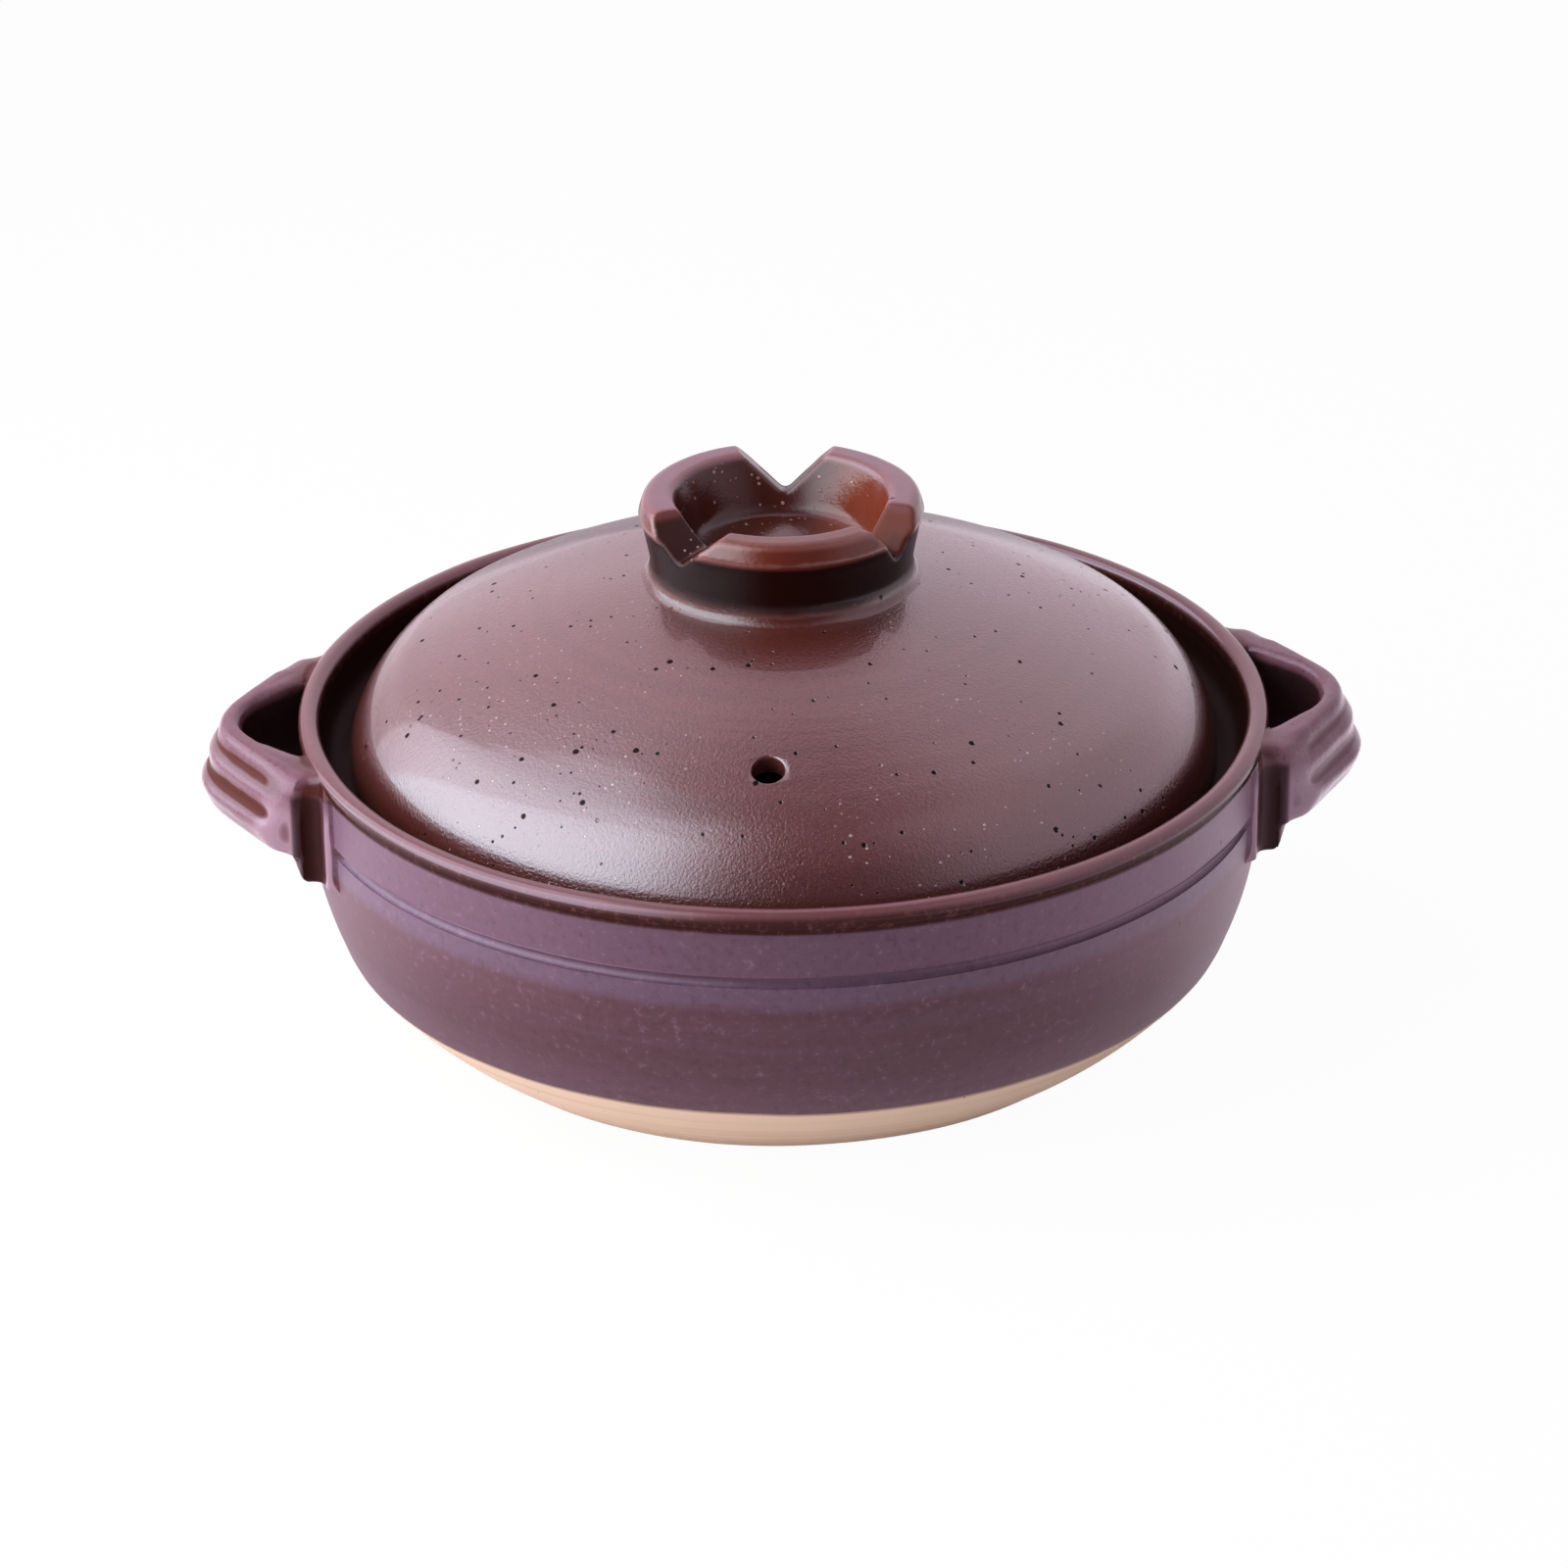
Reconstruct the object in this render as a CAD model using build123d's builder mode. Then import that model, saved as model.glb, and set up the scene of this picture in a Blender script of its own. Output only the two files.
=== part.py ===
import os
from math import acos, asin, atan2, cos, degrees, radians, sin, sqrt, tan

from build123d import *

os.makedirs("parts", exist_ok=True)

# A donabe, the lidded stoneware pot that stands on an open flame. All sizes are in
# millimetres. The pot stands on z = 0, its axis is Z and its handles lie along X.

# Pot, outside
rim_radius = 130.0
rim_height = 87.0
rim_roll_radius = 3.1
rim_overhang = 1.2
groove_below_rim = 20.1
groove_half_width = 1.6
groove_depth = 1.3
shoulder_step = 0.6
knuckle_radius = 120.2
knuckle_height = 25.0
belly_sagitta = 2.4
foot_radius = 92.0
foot_sagitta = 1.5

# Pot, inside and underneath
wall_thickness = 7.5
floor_thickness = 7.0
floor_round = 26.0
knuckle_round = 34.0
shoulder_round = 16.0
gallery_depth = 15.0
gallery_round = 5.5
seat_margin = 1.4
seat_nose = 3.6
seat_round = 1.6
seat_slope = 48.0
foot_ring_width = 12.0
foot_recess_depth = 2.0
foot_recess_bevel = 3.0

# Lid
lid_gap = 9.3
lid_rise = 54.0
lid_edge_height = 2.3
lid_shoulder_radius = 30.5
lid_wall = 6.5
lid_edge_round = 1.4
vent_radius = 4.15
vent_reach = 88.0
lid_turn = -5.6

# Knob, a thick ring with three notches cut by hand
knob_radius = 38.0
knob_rise = 19.8
knob_foot_radius = 37.8
knob_neck_radius = 34.6
knob_neck_rise = 0.4
knob_throat_radius = 36.8
knob_lip_height = 5.4
knob_lip_undercut = 2.6
knob_crown_inset = 1.6
knob_mouth_radius = 28.6
knob_bowl_radius = 22.5
knob_bowl_floor = 4.2
knob_bowl_dish = 0.5
knob_neck_round = 4.5
knob_throat_round = 3.0
knob_lip_round = 1.5
knob_crown_round = 3.0
knob_mouth_round = 2.2
knob_bowl_round = 4.5
notch_angles = (85.0, 219.0, 324.5)
notch_depths = (14.3, 11.0, 12.0)
notch_half_widths = (15.0, 14.5, 11.5)
notch_tip_round = 1.8
notch_tilt = 14.0
notch_edge_round = 1.2

# Lug handles, one thrown strap each, with three ribs outside and a finger hole
handle_reach = 21.0
handle_top_drop = 1.5
strap_nose_radius = 26.0
strap_flank_angle = 31.0
strap_depth = 12.0
strap_height = 22.8
strap_top_round = 2.6
strap_foot_round = 2.4
rib_pitch = 8.2
rib_first_drop = 8.2
rib_flare = 2.8
rib_hollow = 1.3
rib_crest_round = 1.7
rib_hollow_round = 2.0
hole_reach = 14.4
hole_nose_radius = 22.0
hole_flank_angle = 45.0
hole_lip_round = 1.6
lip_slope = 45.0
foot_half_width = 45.0
foot_side_slope = 27.0
foot_drop = 28.0
foot_lip_round = 1.6
foot_ledge = 6.0
foot_slope = 45.0
thumb_inset = 4.9
thumb_half_mouth = 3.7
thumb_depth = 4.2
thumb_floor_round = 2.3
thumb_mouth_round = 2.2

overrun = 10.0
round_side_share = 0.96

# Places that follow from the sizes
band_radius = rim_radius - rim_overhang
shoulder_radius = band_radius - shoulder_step
roll_x = rim_radius - rim_roll_radius
roll_z = rim_height - rim_roll_radius
groove_height = rim_height - groove_below_rim
gallery_radius = rim_radius - 2 * rim_roll_radius
seat_height = rim_height - gallery_depth
floor_height = foot_recess_depth + floor_thickness

lid_radius = gallery_radius - lid_gap
lid_apex = seat_height + lid_rise
lid_shoulder_x = lid_radius - lid_shoulder_radius
lid_shoulder_z = seat_height + lid_edge_height
lid_bow = lid_apex - lid_shoulder_z
crown_bow = lid_bow - lid_shoulder_radius
crown_radius = (lid_shoulder_x**2 + lid_bow**2 - lid_shoulder_radius**2) / (2 * crown_bow)
crown_z = lid_apex - crown_radius
crown_half_angle = degrees(atan2(lid_shoulder_x, lid_shoulder_z - crown_z))
seat_inner_radius = lid_radius - lid_wall - seat_margin


def crown_height(reach):
    """Height of the lid's outer face at a distance from the axis."""
    return crown_z + sqrt(crown_radius**2 - reach**2)


def fitted_rounds(points, rounds):
    """The rounds of an outline's corners, drawn in where two of them would meet on a side."""
    sides = [Vector(after) - Vector(before) for before, after in zip(points, points[1:])]
    half_turns = [radians(one.get_angle(other)) / 2 for one, other in zip(sides, sides[1:])]
    reaches = [0] + [wanted * tan(half) for wanted, half in zip(rounds, half_turns)] + [0]
    shares = [
        min(1, round_side_share * side.length / (one + other))
        for side, one, other in zip(sides, reaches, reaches[1:])
    ]
    return [wanted * min(one, other) for wanted, one, other in zip(rounds, shares, shares[1:])]


def draw_outside():
    """Draw the pot's outer face from the table up and over the rolled rim."""
    roll_start = -degrees(acos((rim_roll_radius - rim_overhang) / rim_roll_radius))
    roll_foot = roll_z + rim_roll_radius * sin(radians(roll_start))
    groove_foot = (shoulder_radius, groove_height - groove_half_width)
    groove_head = (band_radius, groove_height + groove_half_width)
    SagittaArc((foot_radius, 0), (knuckle_radius, knuckle_height), -foot_sagitta)
    SagittaArc((knuckle_radius, knuckle_height), groove_foot, -belly_sagitta)
    ThreePointArc(groove_foot, (shoulder_radius - groove_depth, groove_height), groove_head)
    Line(groove_head, (band_radius, roll_foot))
    CenterArc((roll_x, roll_z), rim_roll_radius, roll_start, 180 - roll_start)


# Pot: thrown bowl with a rolled rim, a ledge that the lid sits on and a turned foot
shoulder_inner = shoulder_radius - wall_thickness
cone_angle = atan2(knuckle_height, knuckle_radius - foot_radius)
knuckle_inner_x = knuckle_radius - wall_thickness * sin((cone_angle + radians(90)) / 2)
knuckle_inner_z = knuckle_height + wall_thickness * cos((cone_angle + radians(90)) / 2)
seat_foot_z = seat_height - seat_nose
seat_run = shoulder_inner - seat_inner_radius
shoulder_inner_z = seat_foot_z - seat_run * tan(radians(seat_slope))
cone_run = (knuckle_inner_z - floor_height) / tan(cone_angle)
inside_points = [
    (gallery_radius, roll_z),
    (gallery_radius, seat_height),
    (seat_inner_radius, seat_height),
    (seat_inner_radius, seat_foot_z),
    (shoulder_inner, shoulder_inner_z),
    (knuckle_inner_x, knuckle_inner_z),
    (knuckle_inner_x - cone_run, floor_height),
    (0, floor_height),
]
inside_rounds = [gallery_round, seat_round, seat_round, shoulder_round, knuckle_round, floor_round]

with BuildPart() as pot_body:
    with BuildSketch(Plane.XZ):
        with BuildLine():
            draw_outside()
            FilletPolyline(*inside_points, radius=fitted_rounds(inside_points, inside_rounds))
            Polyline(
                (0, floor_height),
                (0, foot_recess_depth),
                (foot_radius - foot_ring_width - foot_recess_bevel, foot_recess_depth),
                (foot_radius - foot_ring_width, 0),
                (foot_radius, 0),
            )
        make_face()
    revolve(axis=Axis.Z)
pot_body.part.label = "pot_body"
export_step(pot_body.part, "parts/pot_body.step")

# Solid block of the pot's outer shape, which every handle is trimmed to
with BuildPart() as wall_block:
    with BuildSketch(Plane.XZ):
        with BuildLine():
            draw_outside()
            Polyline((gallery_radius, roll_z), (0, roll_z), (0, 0), (foot_radius, 0))
        make_face()
    revolve(axis=Axis.Z)
    Cylinder(roll_x, rim_height, align=(Align.CENTER, Align.CENTER, Align.MIN))

# Handle: the strap is swept round its arch, joined by a foot at each end
handle_top = rim_height - handle_top_drop
nose_x = rim_radius + handle_reach
flank = radians(strap_flank_angle)
arch_corner_x = nose_x + strap_nose_radius * (1 / cos(flank) - 1)
arch_half_width = foot_half_width + overrun
arch_end_x = arch_corner_x - arch_half_width * tan(flank)
rib_drops = [rib_first_drop + rib_pitch * step for step in range(2)]
hollow_drops = [drop - rib_pitch / 2 for drop in rib_drops]

strap_points = [(-strap_depth, 0), (0, 0)]
strap_rounds = [strap_top_round]
for turn, (hollow, crest) in enumerate(zip(hollow_drops, rib_drops)):
    strap_points.append((rib_flare * (turn + 0.5) - rib_hollow, -hollow))
    strap_points.append((rib_flare * (turn + 1), -crest))
    strap_rounds += [rib_hollow_round, rib_crest_round]
strap_points += [(rib_flare, -strap_height), (-strap_depth, -strap_height)]
strap_rounds.append(strap_foot_round)

hole_flank = radians(hole_flank_angle)
hole_nose_x = rim_radius + hole_reach
hole_corner_x = hole_nose_x + hole_nose_radius * (1 / cos(hole_flank) - 1)
hole_back_x = shoulder_radius - wall_thickness

foot_wall_x = sqrt(rim_radius**2 - foot_half_width**2)
foot_side = radians(foot_side_slope)
foot_far_y = arch_half_width + overrun
foot_bottom = handle_top - foot_drop
strap_bottom = handle_top - strap_height
core_inset = strap_depth / 2


def on_side(run, depth=0):
    """A point at a distance from the wall along a foot's side, and at a depth into the foot."""
    return (
        foot_wall_x + run * cos(foot_side) - depth * sin(foot_side),
        foot_half_width - run * sin(foot_side) - depth * cos(foot_side),
    )


side_points = [
    on_side(-overrun),
    on_side(thumb_inset - thumb_half_mouth),
    on_side(thumb_inset, thumb_depth),
    on_side(thumb_inset + thumb_half_mouth),
    on_side(strap_depth + 2 * overrun),
]
side_rounds = [thumb_mouth_round, thumb_floor_round, thumb_mouth_round]


def draw_hole(ease=0):
    """Draw the finger hole's outline, a bow with its back in the wall, eased outward."""
    corner_x = hole_corner_x + ease / cos(hole_flank)
    half_width = (corner_x - hole_back_x) / tan(hole_flank)
    FilletPolyline(
        (hole_back_x, half_width),
        (corner_x, 0),
        (hole_back_x, -half_width),
        radius=hole_nose_radius + ease,
    )
    Line((hole_back_x, -half_width), (hole_back_x, half_width))


with BuildPart() as handle_right:
    with BuildLine(Plane.XY.offset(handle_top)) as arch:
        FilletPolyline(
            (arch_end_x, arch_half_width),
            (arch_corner_x, 0),
            (arch_end_x, -arch_half_width),
            radius=strap_nose_radius,
        )
    with BuildSketch(Plane(arch.line @ 0, x_dir=(cos(flank), sin(flank), 0), z_dir=arch.line % 0)):
        with BuildLine():
            FilletPolyline(*strap_points, radius=fitted_rounds(strap_points, strap_rounds))
            Line(strap_points[-1], strap_points[0])
        make_face()
    sweep()
    # The clay between the strap and the wall
    with BuildSketch(Plane.XY.offset(foot_bottom)):
        Polygon(
            (arch_corner_x - core_inset / cos(flank), 0),
            (arch_end_x, arch_half_width),
            (0, arch_half_width),
            (0, -arch_half_width),
            (arch_end_x, -arch_half_width),
            align=None,
        )
    extrude(amount=foot_drop)
    # Its underside is level at the wall and then slopes up to the strap
    with BuildSketch(Plane.XZ):
        slope_run = (strap_bottom - foot_bottom) / tan(radians(foot_slope))
        Polygon(
            (foot_wall_x + foot_ledge, foot_bottom),
            (foot_wall_x + foot_ledge + slope_run, strap_bottom),
            (nose_x + overrun, strap_bottom),
            (nose_x + overrun, foot_bottom - overrun),
            (0, foot_bottom - overrun),
            (0, foot_bottom),
            align=None,
        )
    extrude(amount=foot_far_y, both=True, mode=Mode.SUBTRACT)
    # Finger hole, with both of its mouths eased
    for level, ease, height, taper in (
        (foot_bottom - overrun, hole_lip_round, strap_bottom - foot_bottom + overrun, 0),
        (strap_bottom, hole_lip_round, hole_lip_round, lip_slope),
        (strap_bottom, 0, strap_height + overrun, 0),
        (handle_top - hole_lip_round, 0, hole_lip_round, -lip_slope),
    ):
        with BuildSketch(Plane.XY.offset(level)):
            with BuildLine():
                draw_hole(ease)
            make_face()
        extrude(amount=height, taper=taper, mode=Mode.SUBTRACT)
    # Both feet are trimmed at a slope to the wall, with a groove where a thumb pressed them on
    for level, height, taper in (
        (foot_bottom - overrun, foot_drop + 2 * overrun, 0),
        (handle_top - foot_lip_round, foot_lip_round, -lip_slope),
    ):
        with BuildSketch(Plane.XY.offset(level)):
            with BuildLine():
                FilletPolyline(*side_points, radius=fitted_rounds(side_points, side_rounds))
                far_corners = [(x, foot_far_y) for x, _ in (side_points[-1], side_points[0])]
                Polyline(side_points[-1], *far_corners, side_points[0])
            make_face()
            mirror(about=Plane.XZ)
        extrude(amount=height, taper=taper, mode=Mode.SUBTRACT)
    add(wall_block.part, mode=Mode.SUBTRACT)
handle_right.part.label = "handle_right"
export_step(handle_right.part, "parts/handle_right.step")

with BuildPart() as handle_left:
    add(handle_right.part)
    mirror(about=Plane.YZ, mode=Mode.REPLACE)
handle_left.part.label = "handle_left"
export_step(handle_left.part, "parts/handle_left.step")

# Lid: a domed shell whose edge stands on the ledge, with one steam vent
vent_tilt = asin(vent_reach / crown_radius)
vent_angle = radians(lid_turn - 90)
vent_point = (vent_reach * cos(vent_angle), vent_reach * sin(vent_angle), crown_height(vent_reach))
vent_axis = (sin(vent_tilt) * cos(vent_angle), sin(vent_tilt) * sin(vent_angle), cos(vent_tilt))

with BuildPart() as lid_dome:
    with BuildSketch(Plane.XZ):
        with BuildLine():
            for inset in (0, lid_wall):
                CenterArc((0, crown_z), crown_radius - inset, 90 - crown_half_angle, crown_half_angle)
                CenterArc(
                    (lid_shoulder_x, lid_shoulder_z),
                    lid_shoulder_radius - inset,
                    0,
                    90 - crown_half_angle,
                )
                Line((lid_radius - inset, lid_shoulder_z), (lid_radius - inset, seat_height))
            Line((lid_radius, seat_height), (lid_radius - lid_wall, seat_height))
            Line((0, lid_apex), (0, lid_apex - lid_wall))
        make_face()
        fillet(vertices().group_by(Axis.Y)[0], lid_edge_round)
    revolve(axis=Axis.Z)
    with BuildSketch(Plane(vent_point, z_dir=vent_axis)):
        Circle(vent_radius)
    extrude(amount=2 * lid_wall, both=True, mode=Mode.SUBTRACT)
lid_dome.part.label = "lid_dome"
export_step(lid_dome.part, "parts/lid_dome.step")

# Knob: a turned ring with a shallow bowl, whose wall is cut into three petals
knob_top = lid_apex + knob_rise
knob_floor = lid_apex + knob_bowl_floor
knob_foot_angle = degrees(asin(knob_foot_radius / crown_radius))

knob_points = [
    (knob_foot_radius, crown_height(knob_foot_radius)),
    (knob_neck_radius, lid_apex + knob_neck_rise),
    (knob_throat_radius, knob_top - knob_lip_height - knob_lip_undercut),
    (knob_radius, knob_top - knob_lip_height),
    (knob_radius - knob_crown_inset, knob_top),
    (knob_mouth_radius, knob_top),
    (knob_bowl_radius, knob_floor),
    (0, knob_floor - knob_bowl_dish),
]
knob_rounds = [
    knob_neck_round,
    knob_throat_round,
    knob_lip_round,
    knob_crown_round,
    knob_mouth_round,
    knob_bowl_round,
]

with BuildPart() as lid_knob:
    with BuildSketch(Plane.XZ):
        with BuildLine():
            FilletPolyline(*knob_points, radius=fitted_rounds(knob_points, knob_rounds))
            CenterArc((0, crown_z), crown_radius, 90 - knob_foot_angle, knob_foot_angle)
            Line((0, lid_apex), (0, knob_floor - knob_bowl_dish))
        make_face()
    revolve(axis=Axis.Z)
    for angle, depth, half_width in zip(notch_angles, notch_depths, notch_half_widths):
        out = Vector(cos(radians(angle)), sin(radians(angle)), 0)
        side = Vector(-out.Y, out.X, 0)
        inward = Vector(0, 0, sin(radians(notch_tilt))) - out * cos(radians(notch_tilt))
        tip = out * knob_radius + Vector(0, 0, knob_top - depth)
        mouth = half_width * (depth + overrun) / depth
        with BuildSketch(Plane(tip - inward * overrun, x_dir=side, z_dir=inward)):
            Polygon((0, 0), (mouth, -depth - overrun), (-mouth, -depth - overrun), align=None)
            fillet(vertices().group_by(Axis.Y)[-1], notch_tip_round)
        extrude(amount=knob_radius - knob_bowl_radius / 2 + overrun, mode=Mode.SUBTRACT)
    # The edges of the cuts are wiped round
    cut_faces = faces().filter_by(GeomType.CYLINDER) + [
        face for face in faces().filter_by(GeomType.PLANE) if abs(face.normal_at().Z) < 0.99
    ]
    cut_edges = [edge for face in cut_faces for edge in face.edges()]
    fillet([edge for edge in cut_edges if sum(map(edge.is_same, cut_edges)) == 1], notch_edge_round)
lid_knob.part.label = "lid_knob"
export_step(lid_knob.part, "parts/lid_knob.step")
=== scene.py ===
import math

import bpy
import numpy as np
from mathutils import Matrix, Vector
from mathutils.bvhtree import BVHTree


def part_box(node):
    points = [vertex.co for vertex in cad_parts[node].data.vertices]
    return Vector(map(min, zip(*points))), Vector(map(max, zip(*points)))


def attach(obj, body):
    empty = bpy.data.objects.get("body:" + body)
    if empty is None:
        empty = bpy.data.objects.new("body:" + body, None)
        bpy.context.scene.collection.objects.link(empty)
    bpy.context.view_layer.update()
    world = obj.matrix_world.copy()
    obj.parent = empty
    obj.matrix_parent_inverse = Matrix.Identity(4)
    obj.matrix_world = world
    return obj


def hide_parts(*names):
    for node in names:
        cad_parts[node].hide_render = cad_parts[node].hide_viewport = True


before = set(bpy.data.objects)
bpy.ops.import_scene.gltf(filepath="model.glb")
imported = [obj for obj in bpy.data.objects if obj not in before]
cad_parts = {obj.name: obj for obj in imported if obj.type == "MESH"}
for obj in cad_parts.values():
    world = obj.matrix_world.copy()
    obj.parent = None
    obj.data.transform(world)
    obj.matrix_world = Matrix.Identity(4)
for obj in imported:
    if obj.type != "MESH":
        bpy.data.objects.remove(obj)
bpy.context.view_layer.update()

# Camera. It looks down on the pot from the front, a little to the left of square on, with the
# rim's centre somewhat above the middle of the picture.
rim_roll = 0.0062
rim_centre = Vector((0, 0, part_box("pot_body")[1].z - rim_roll / 2))
camera_distance = 1.523
camera_elevation = math.radians(24.94)
camera_turn = math.radians(-3)
camera_roll = math.radians(-0.59)
aim_below_rim = math.radians(0.8)

bpy.ops.object.camera_add()
camera = bpy.context.object
camera.name = "camera"
camera.data.sensor_width = 36
camera.data.lens = 130.5
camera.matrix_world = (
    Matrix.Translation(rim_centre)
    @ Matrix.Rotation(camera_turn, 4, "Z")
    @ Matrix.Rotation(math.pi / 2 - camera_elevation, 4, "X")
    @ Matrix.Translation((0, 0, camera_distance))
    @ Matrix.Rotation(-aim_below_rim, 4, "X")
    @ Matrix.Rotation(camera_roll, 4, "Z")
)
bpy.context.scene.camera = camera
bpy.context.scene.view_settings.view_transform = "Standard"


# Stage. A white table in a white room, with a large window on the left, brighter in its middle, and
# a weak fill on the right. What the glaze mirrors is painted for glossy rays alone: a table that
# glows beside the pot, the window's curtain and pane, pale walls and a dim ceiling.
stage_size = 8.0
paper_white = (1, 1, 1, 1)
table_glow, left_glow, right_glow = 0.8, 1.5, 1.4
beside_pot = (0.1, 0.25)
before_pot = (0.25, 0.5)
behind_pot = (0.1, 0.35)
curtain_glow, pane_glow = 4.2, 3.2
window_turn = (-0.9, -0.25)
side_wall_glow, back_wall_glow = 1.25, 1.0
curtain_tint = (0.94, 1.03, 1.15, 1)
pane_tint = (0.9, 1.02, 1.12, 1)
wall_paint = (1.09, 0.87, 0.99, 1)
table_tint = (1.06, 0.94, 1.04, 1)


class Wire:
    """One output of a shader node, with arithmetic that adds Math nodes."""

    def __init__(self, tree, output=None):
        self.tree, self.output = tree, output

    def add(self, kind, values=None, output=0, **settings):
        """Add a node: its settings first, then the value or link of each socket."""
        node = self.tree.nodes.new("ShaderNode" + kind)
        for name, setting in settings.items():
            setattr(node, name, setting)
        for socket, value in (values or {}).items():
            if isinstance(value, Wire):
                self.tree.links.new(value.output, node.inputs[socket])
            else:
                node.inputs[socket].default_value = value
        return Wire(self.tree, node.outputs[output])

    def maths(self, operation, *values):
        return self.add("Math", dict(enumerate((self,) + values)), operation=operation)

    def __add__(self, other):
        return self.maths("ADD", other)

    def __radd__(self, other):
        return self.maths("ADD", other)

    def __sub__(self, other):
        return self.maths("SUBTRACT", other)

    def __rsub__(self, other):
        return self.add("Math", {0: other, 1: self}, operation="SUBTRACT")

    def __mul__(self, other):
        return self.maths("MULTIPLY", other)

    def __rmul__(self, other):
        return self.maths("MULTIPLY", other)

    def rise(self, start, end):
        """0 up to start, 1 from end on, and a soft step between them."""
        limits = {"Value": self, "From Min": start, "From Max": end}
        return self.add("MapRange", limits, interpolation_type="SMOOTHSTEP")

    def clouds(self, scale, detail=2.0, roughness=0.5):
        """Soft noise from 0 to 1 on this vector, with scale patches to the metre."""
        values = {"Vector": self, "Scale": scale, "Detail": detail, "Roughness": roughness}
        return self.add("TexNoise", values)

    def stretch(self, x, y, z):
        """This vector with each of its axes scaled."""
        return self.add("VectorMath", {0: self, 1: (x, y, z)}, operation="MULTIPLY")

    def dots(self, spacing, radius, share):
        """Round dots of about that radius, one to a share of the cells of that spacing."""
        cells = {"Vector": self, "Scale": 1 / spacing}
        away = self.add("TexVoronoi", cells) * spacing
        pick = self.add("TexVoronoi", cells, output=1)
        chosen = pick.add("SeparateColor", {0: pick})
        size = pick.add("SeparateColor", {0: pick}, output=1) * radius * 0.6 + radius * 0.4
        inside = 1 - (away - size).rise(-0.25 * radius, 0.1 * radius)
        return inside * chosen.rise(1 - share, 1.01 - share)

    def paint(self, mask, over, blend="MIX"):
        """This colour with another one over it where the mask is 1."""
        values = {0: mask, 6: self, 7: over}
        return self.add("Mix", values, output=2, data_type="RGBA", blend_type=blend)


bpy.ops.mesh.primitive_plane_add(size=stage_size)
table = bpy.context.object
table.name = "table"
material = bpy.data.materials.new("table_white")
material.use_nodes = True
tree = material.node_tree
tree.nodes.clear()
ray = Wire(tree).add("LightPath", output=0)
glossy = Wire(tree).add("LightPath", output=3)
spot = Wire(tree).add("TexCoord", output=3)
spot_x = spot.add("SeparateXYZ", {0: spot}, output=0)
spot_y = spot.add("SeparateXYZ", {0: spot}, output=1)
on_left = (0 - spot_x).rise(*beside_pot)
on_right = spot_x.rise(*beside_pot)
sheen = table_glow + on_left * left_glow + on_right * right_glow
sheen = sheen * (1 - (0 - spot_y).rise(*before_pot) * 0.6)
sheen = sheen * (1 - spot_y.rise(*behind_pot) * 0.45)
lit = Wire(tree).add("BsdfDiffuse", {"Color": (0.8, 0.8, 0.8, 1)})
bright = Wire(tree).add("Emission", {"Color": paper_white, "Strength": 1.0})
gleam = Wire(tree).add("Emission", {"Color": table_tint, "Strength": sheen})
mixed = lit.add("MixShader", {0: ray * 0.96, 1: lit, 2: bright})
mixed = lit.add("MixShader", {0: glossy, 1: mixed, 2: gleam})
out = tree.nodes.new("ShaderNodeOutputMaterial")
tree.links.new(mixed.output, out.inputs[0])
table.data.materials.append(material)

world = bpy.data.worlds.new("room")
bpy.context.scene.world = world
world.use_nodes = True
tree = world.node_tree
tree.nodes.clear()
ray = Wire(tree).add("LightPath", output=0)
glossy = Wire(tree).add("LightPath", output=3)
toward = Wire(tree).add("TexCoord", output=0)
toward_x = toward.add("SeparateXYZ", {0: toward}, output=0)
toward_y = toward.add("SeparateXYZ", {0: toward}, output=1)
toward_z = toward.add("SeparateXYZ", {0: toward}, output=2)
level = (toward_x * toward_x + toward_y * toward_y).maths("SQRT")
sideways = toward_x.maths("DIVIDE", level)
backward = toward_y.maths("DIVIDE", level)
curtain = (toward_x * -1.1 - toward_y).rise(-0.03, 0.03)
low_behind = toward_y.rise(-0.05, 0.35) * (1 - toward_z.rise(0.1, 0.5))
curtain = curtain * (1 - low_behind * 0.45)
pane = (toward_x * -0.532 - toward_y * 0.68 - toward_z * 0.507).rise(-0.03, 0.03)
on_window = 1 - sideways.rise(*window_turn)
daylight = (curtain * curtain_glow + pane * pane_glow) * on_window * (1 - toward_z.rise(0.9, 1.0))
back_wall = backward.rise(0.4, 1.0) * (back_wall_glow + toward_z.rise(0.1, 0.4) * 0.4)
walls = sideways.rise(0.35, 1.0) * side_wall_glow + back_wall
ceiling = toward_z.rise(0.5, 0.95) * 0.08
wall_glow = daylight + walls * (1 - toward_z.rise(0.86, 1.0)) + ceiling + 0.04
room = Wire(tree).add("Background", {"Color": paper_white, "Strength": 0.4})
wall_tint = Wire(tree).add("RGB")
wall_tint = wall_tint.paint(1.0, wall_paint)
wall_tint = wall_tint.paint(curtain * on_window, curtain_tint)
wall_tint = wall_tint.paint(pane * on_window, pane_tint)
wall = Wire(tree).add("Background", {"Color": wall_tint, "Strength": wall_glow})
seen = Wire(tree).add("Background", {"Color": paper_white, "Strength": 1.0})
mixed = room.add("MixShader", {0: glossy, 1: room, 2: wall})
mixed = room.add("MixShader", {0: ray, 1: mixed, 2: seen})
out = tree.nodes.new("ShaderNodeOutputWorld")
tree.links.new(mixed.output, out.inputs[0])


def softbox(name, centre, aim, width, height, glow):
    """A rectangular lamp of that radiance, facing a point. It lights and isn't mirrored."""
    bpy.ops.object.light_add(type="AREA", location=centre)
    lamp = bpy.context.object
    lamp.name = name
    lamp.data.shape = "RECTANGLE"
    lamp.data.size = width
    lamp.data.size_y = height
    lamp.data.energy = glow * width * height * math.pi
    lamp.rotation_euler = (Vector(aim) - Vector(centre)).to_track_quat("-Z", "Y").to_euler()
    lamp.visible_camera = False
    lamp.visible_glossy = False


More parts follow.
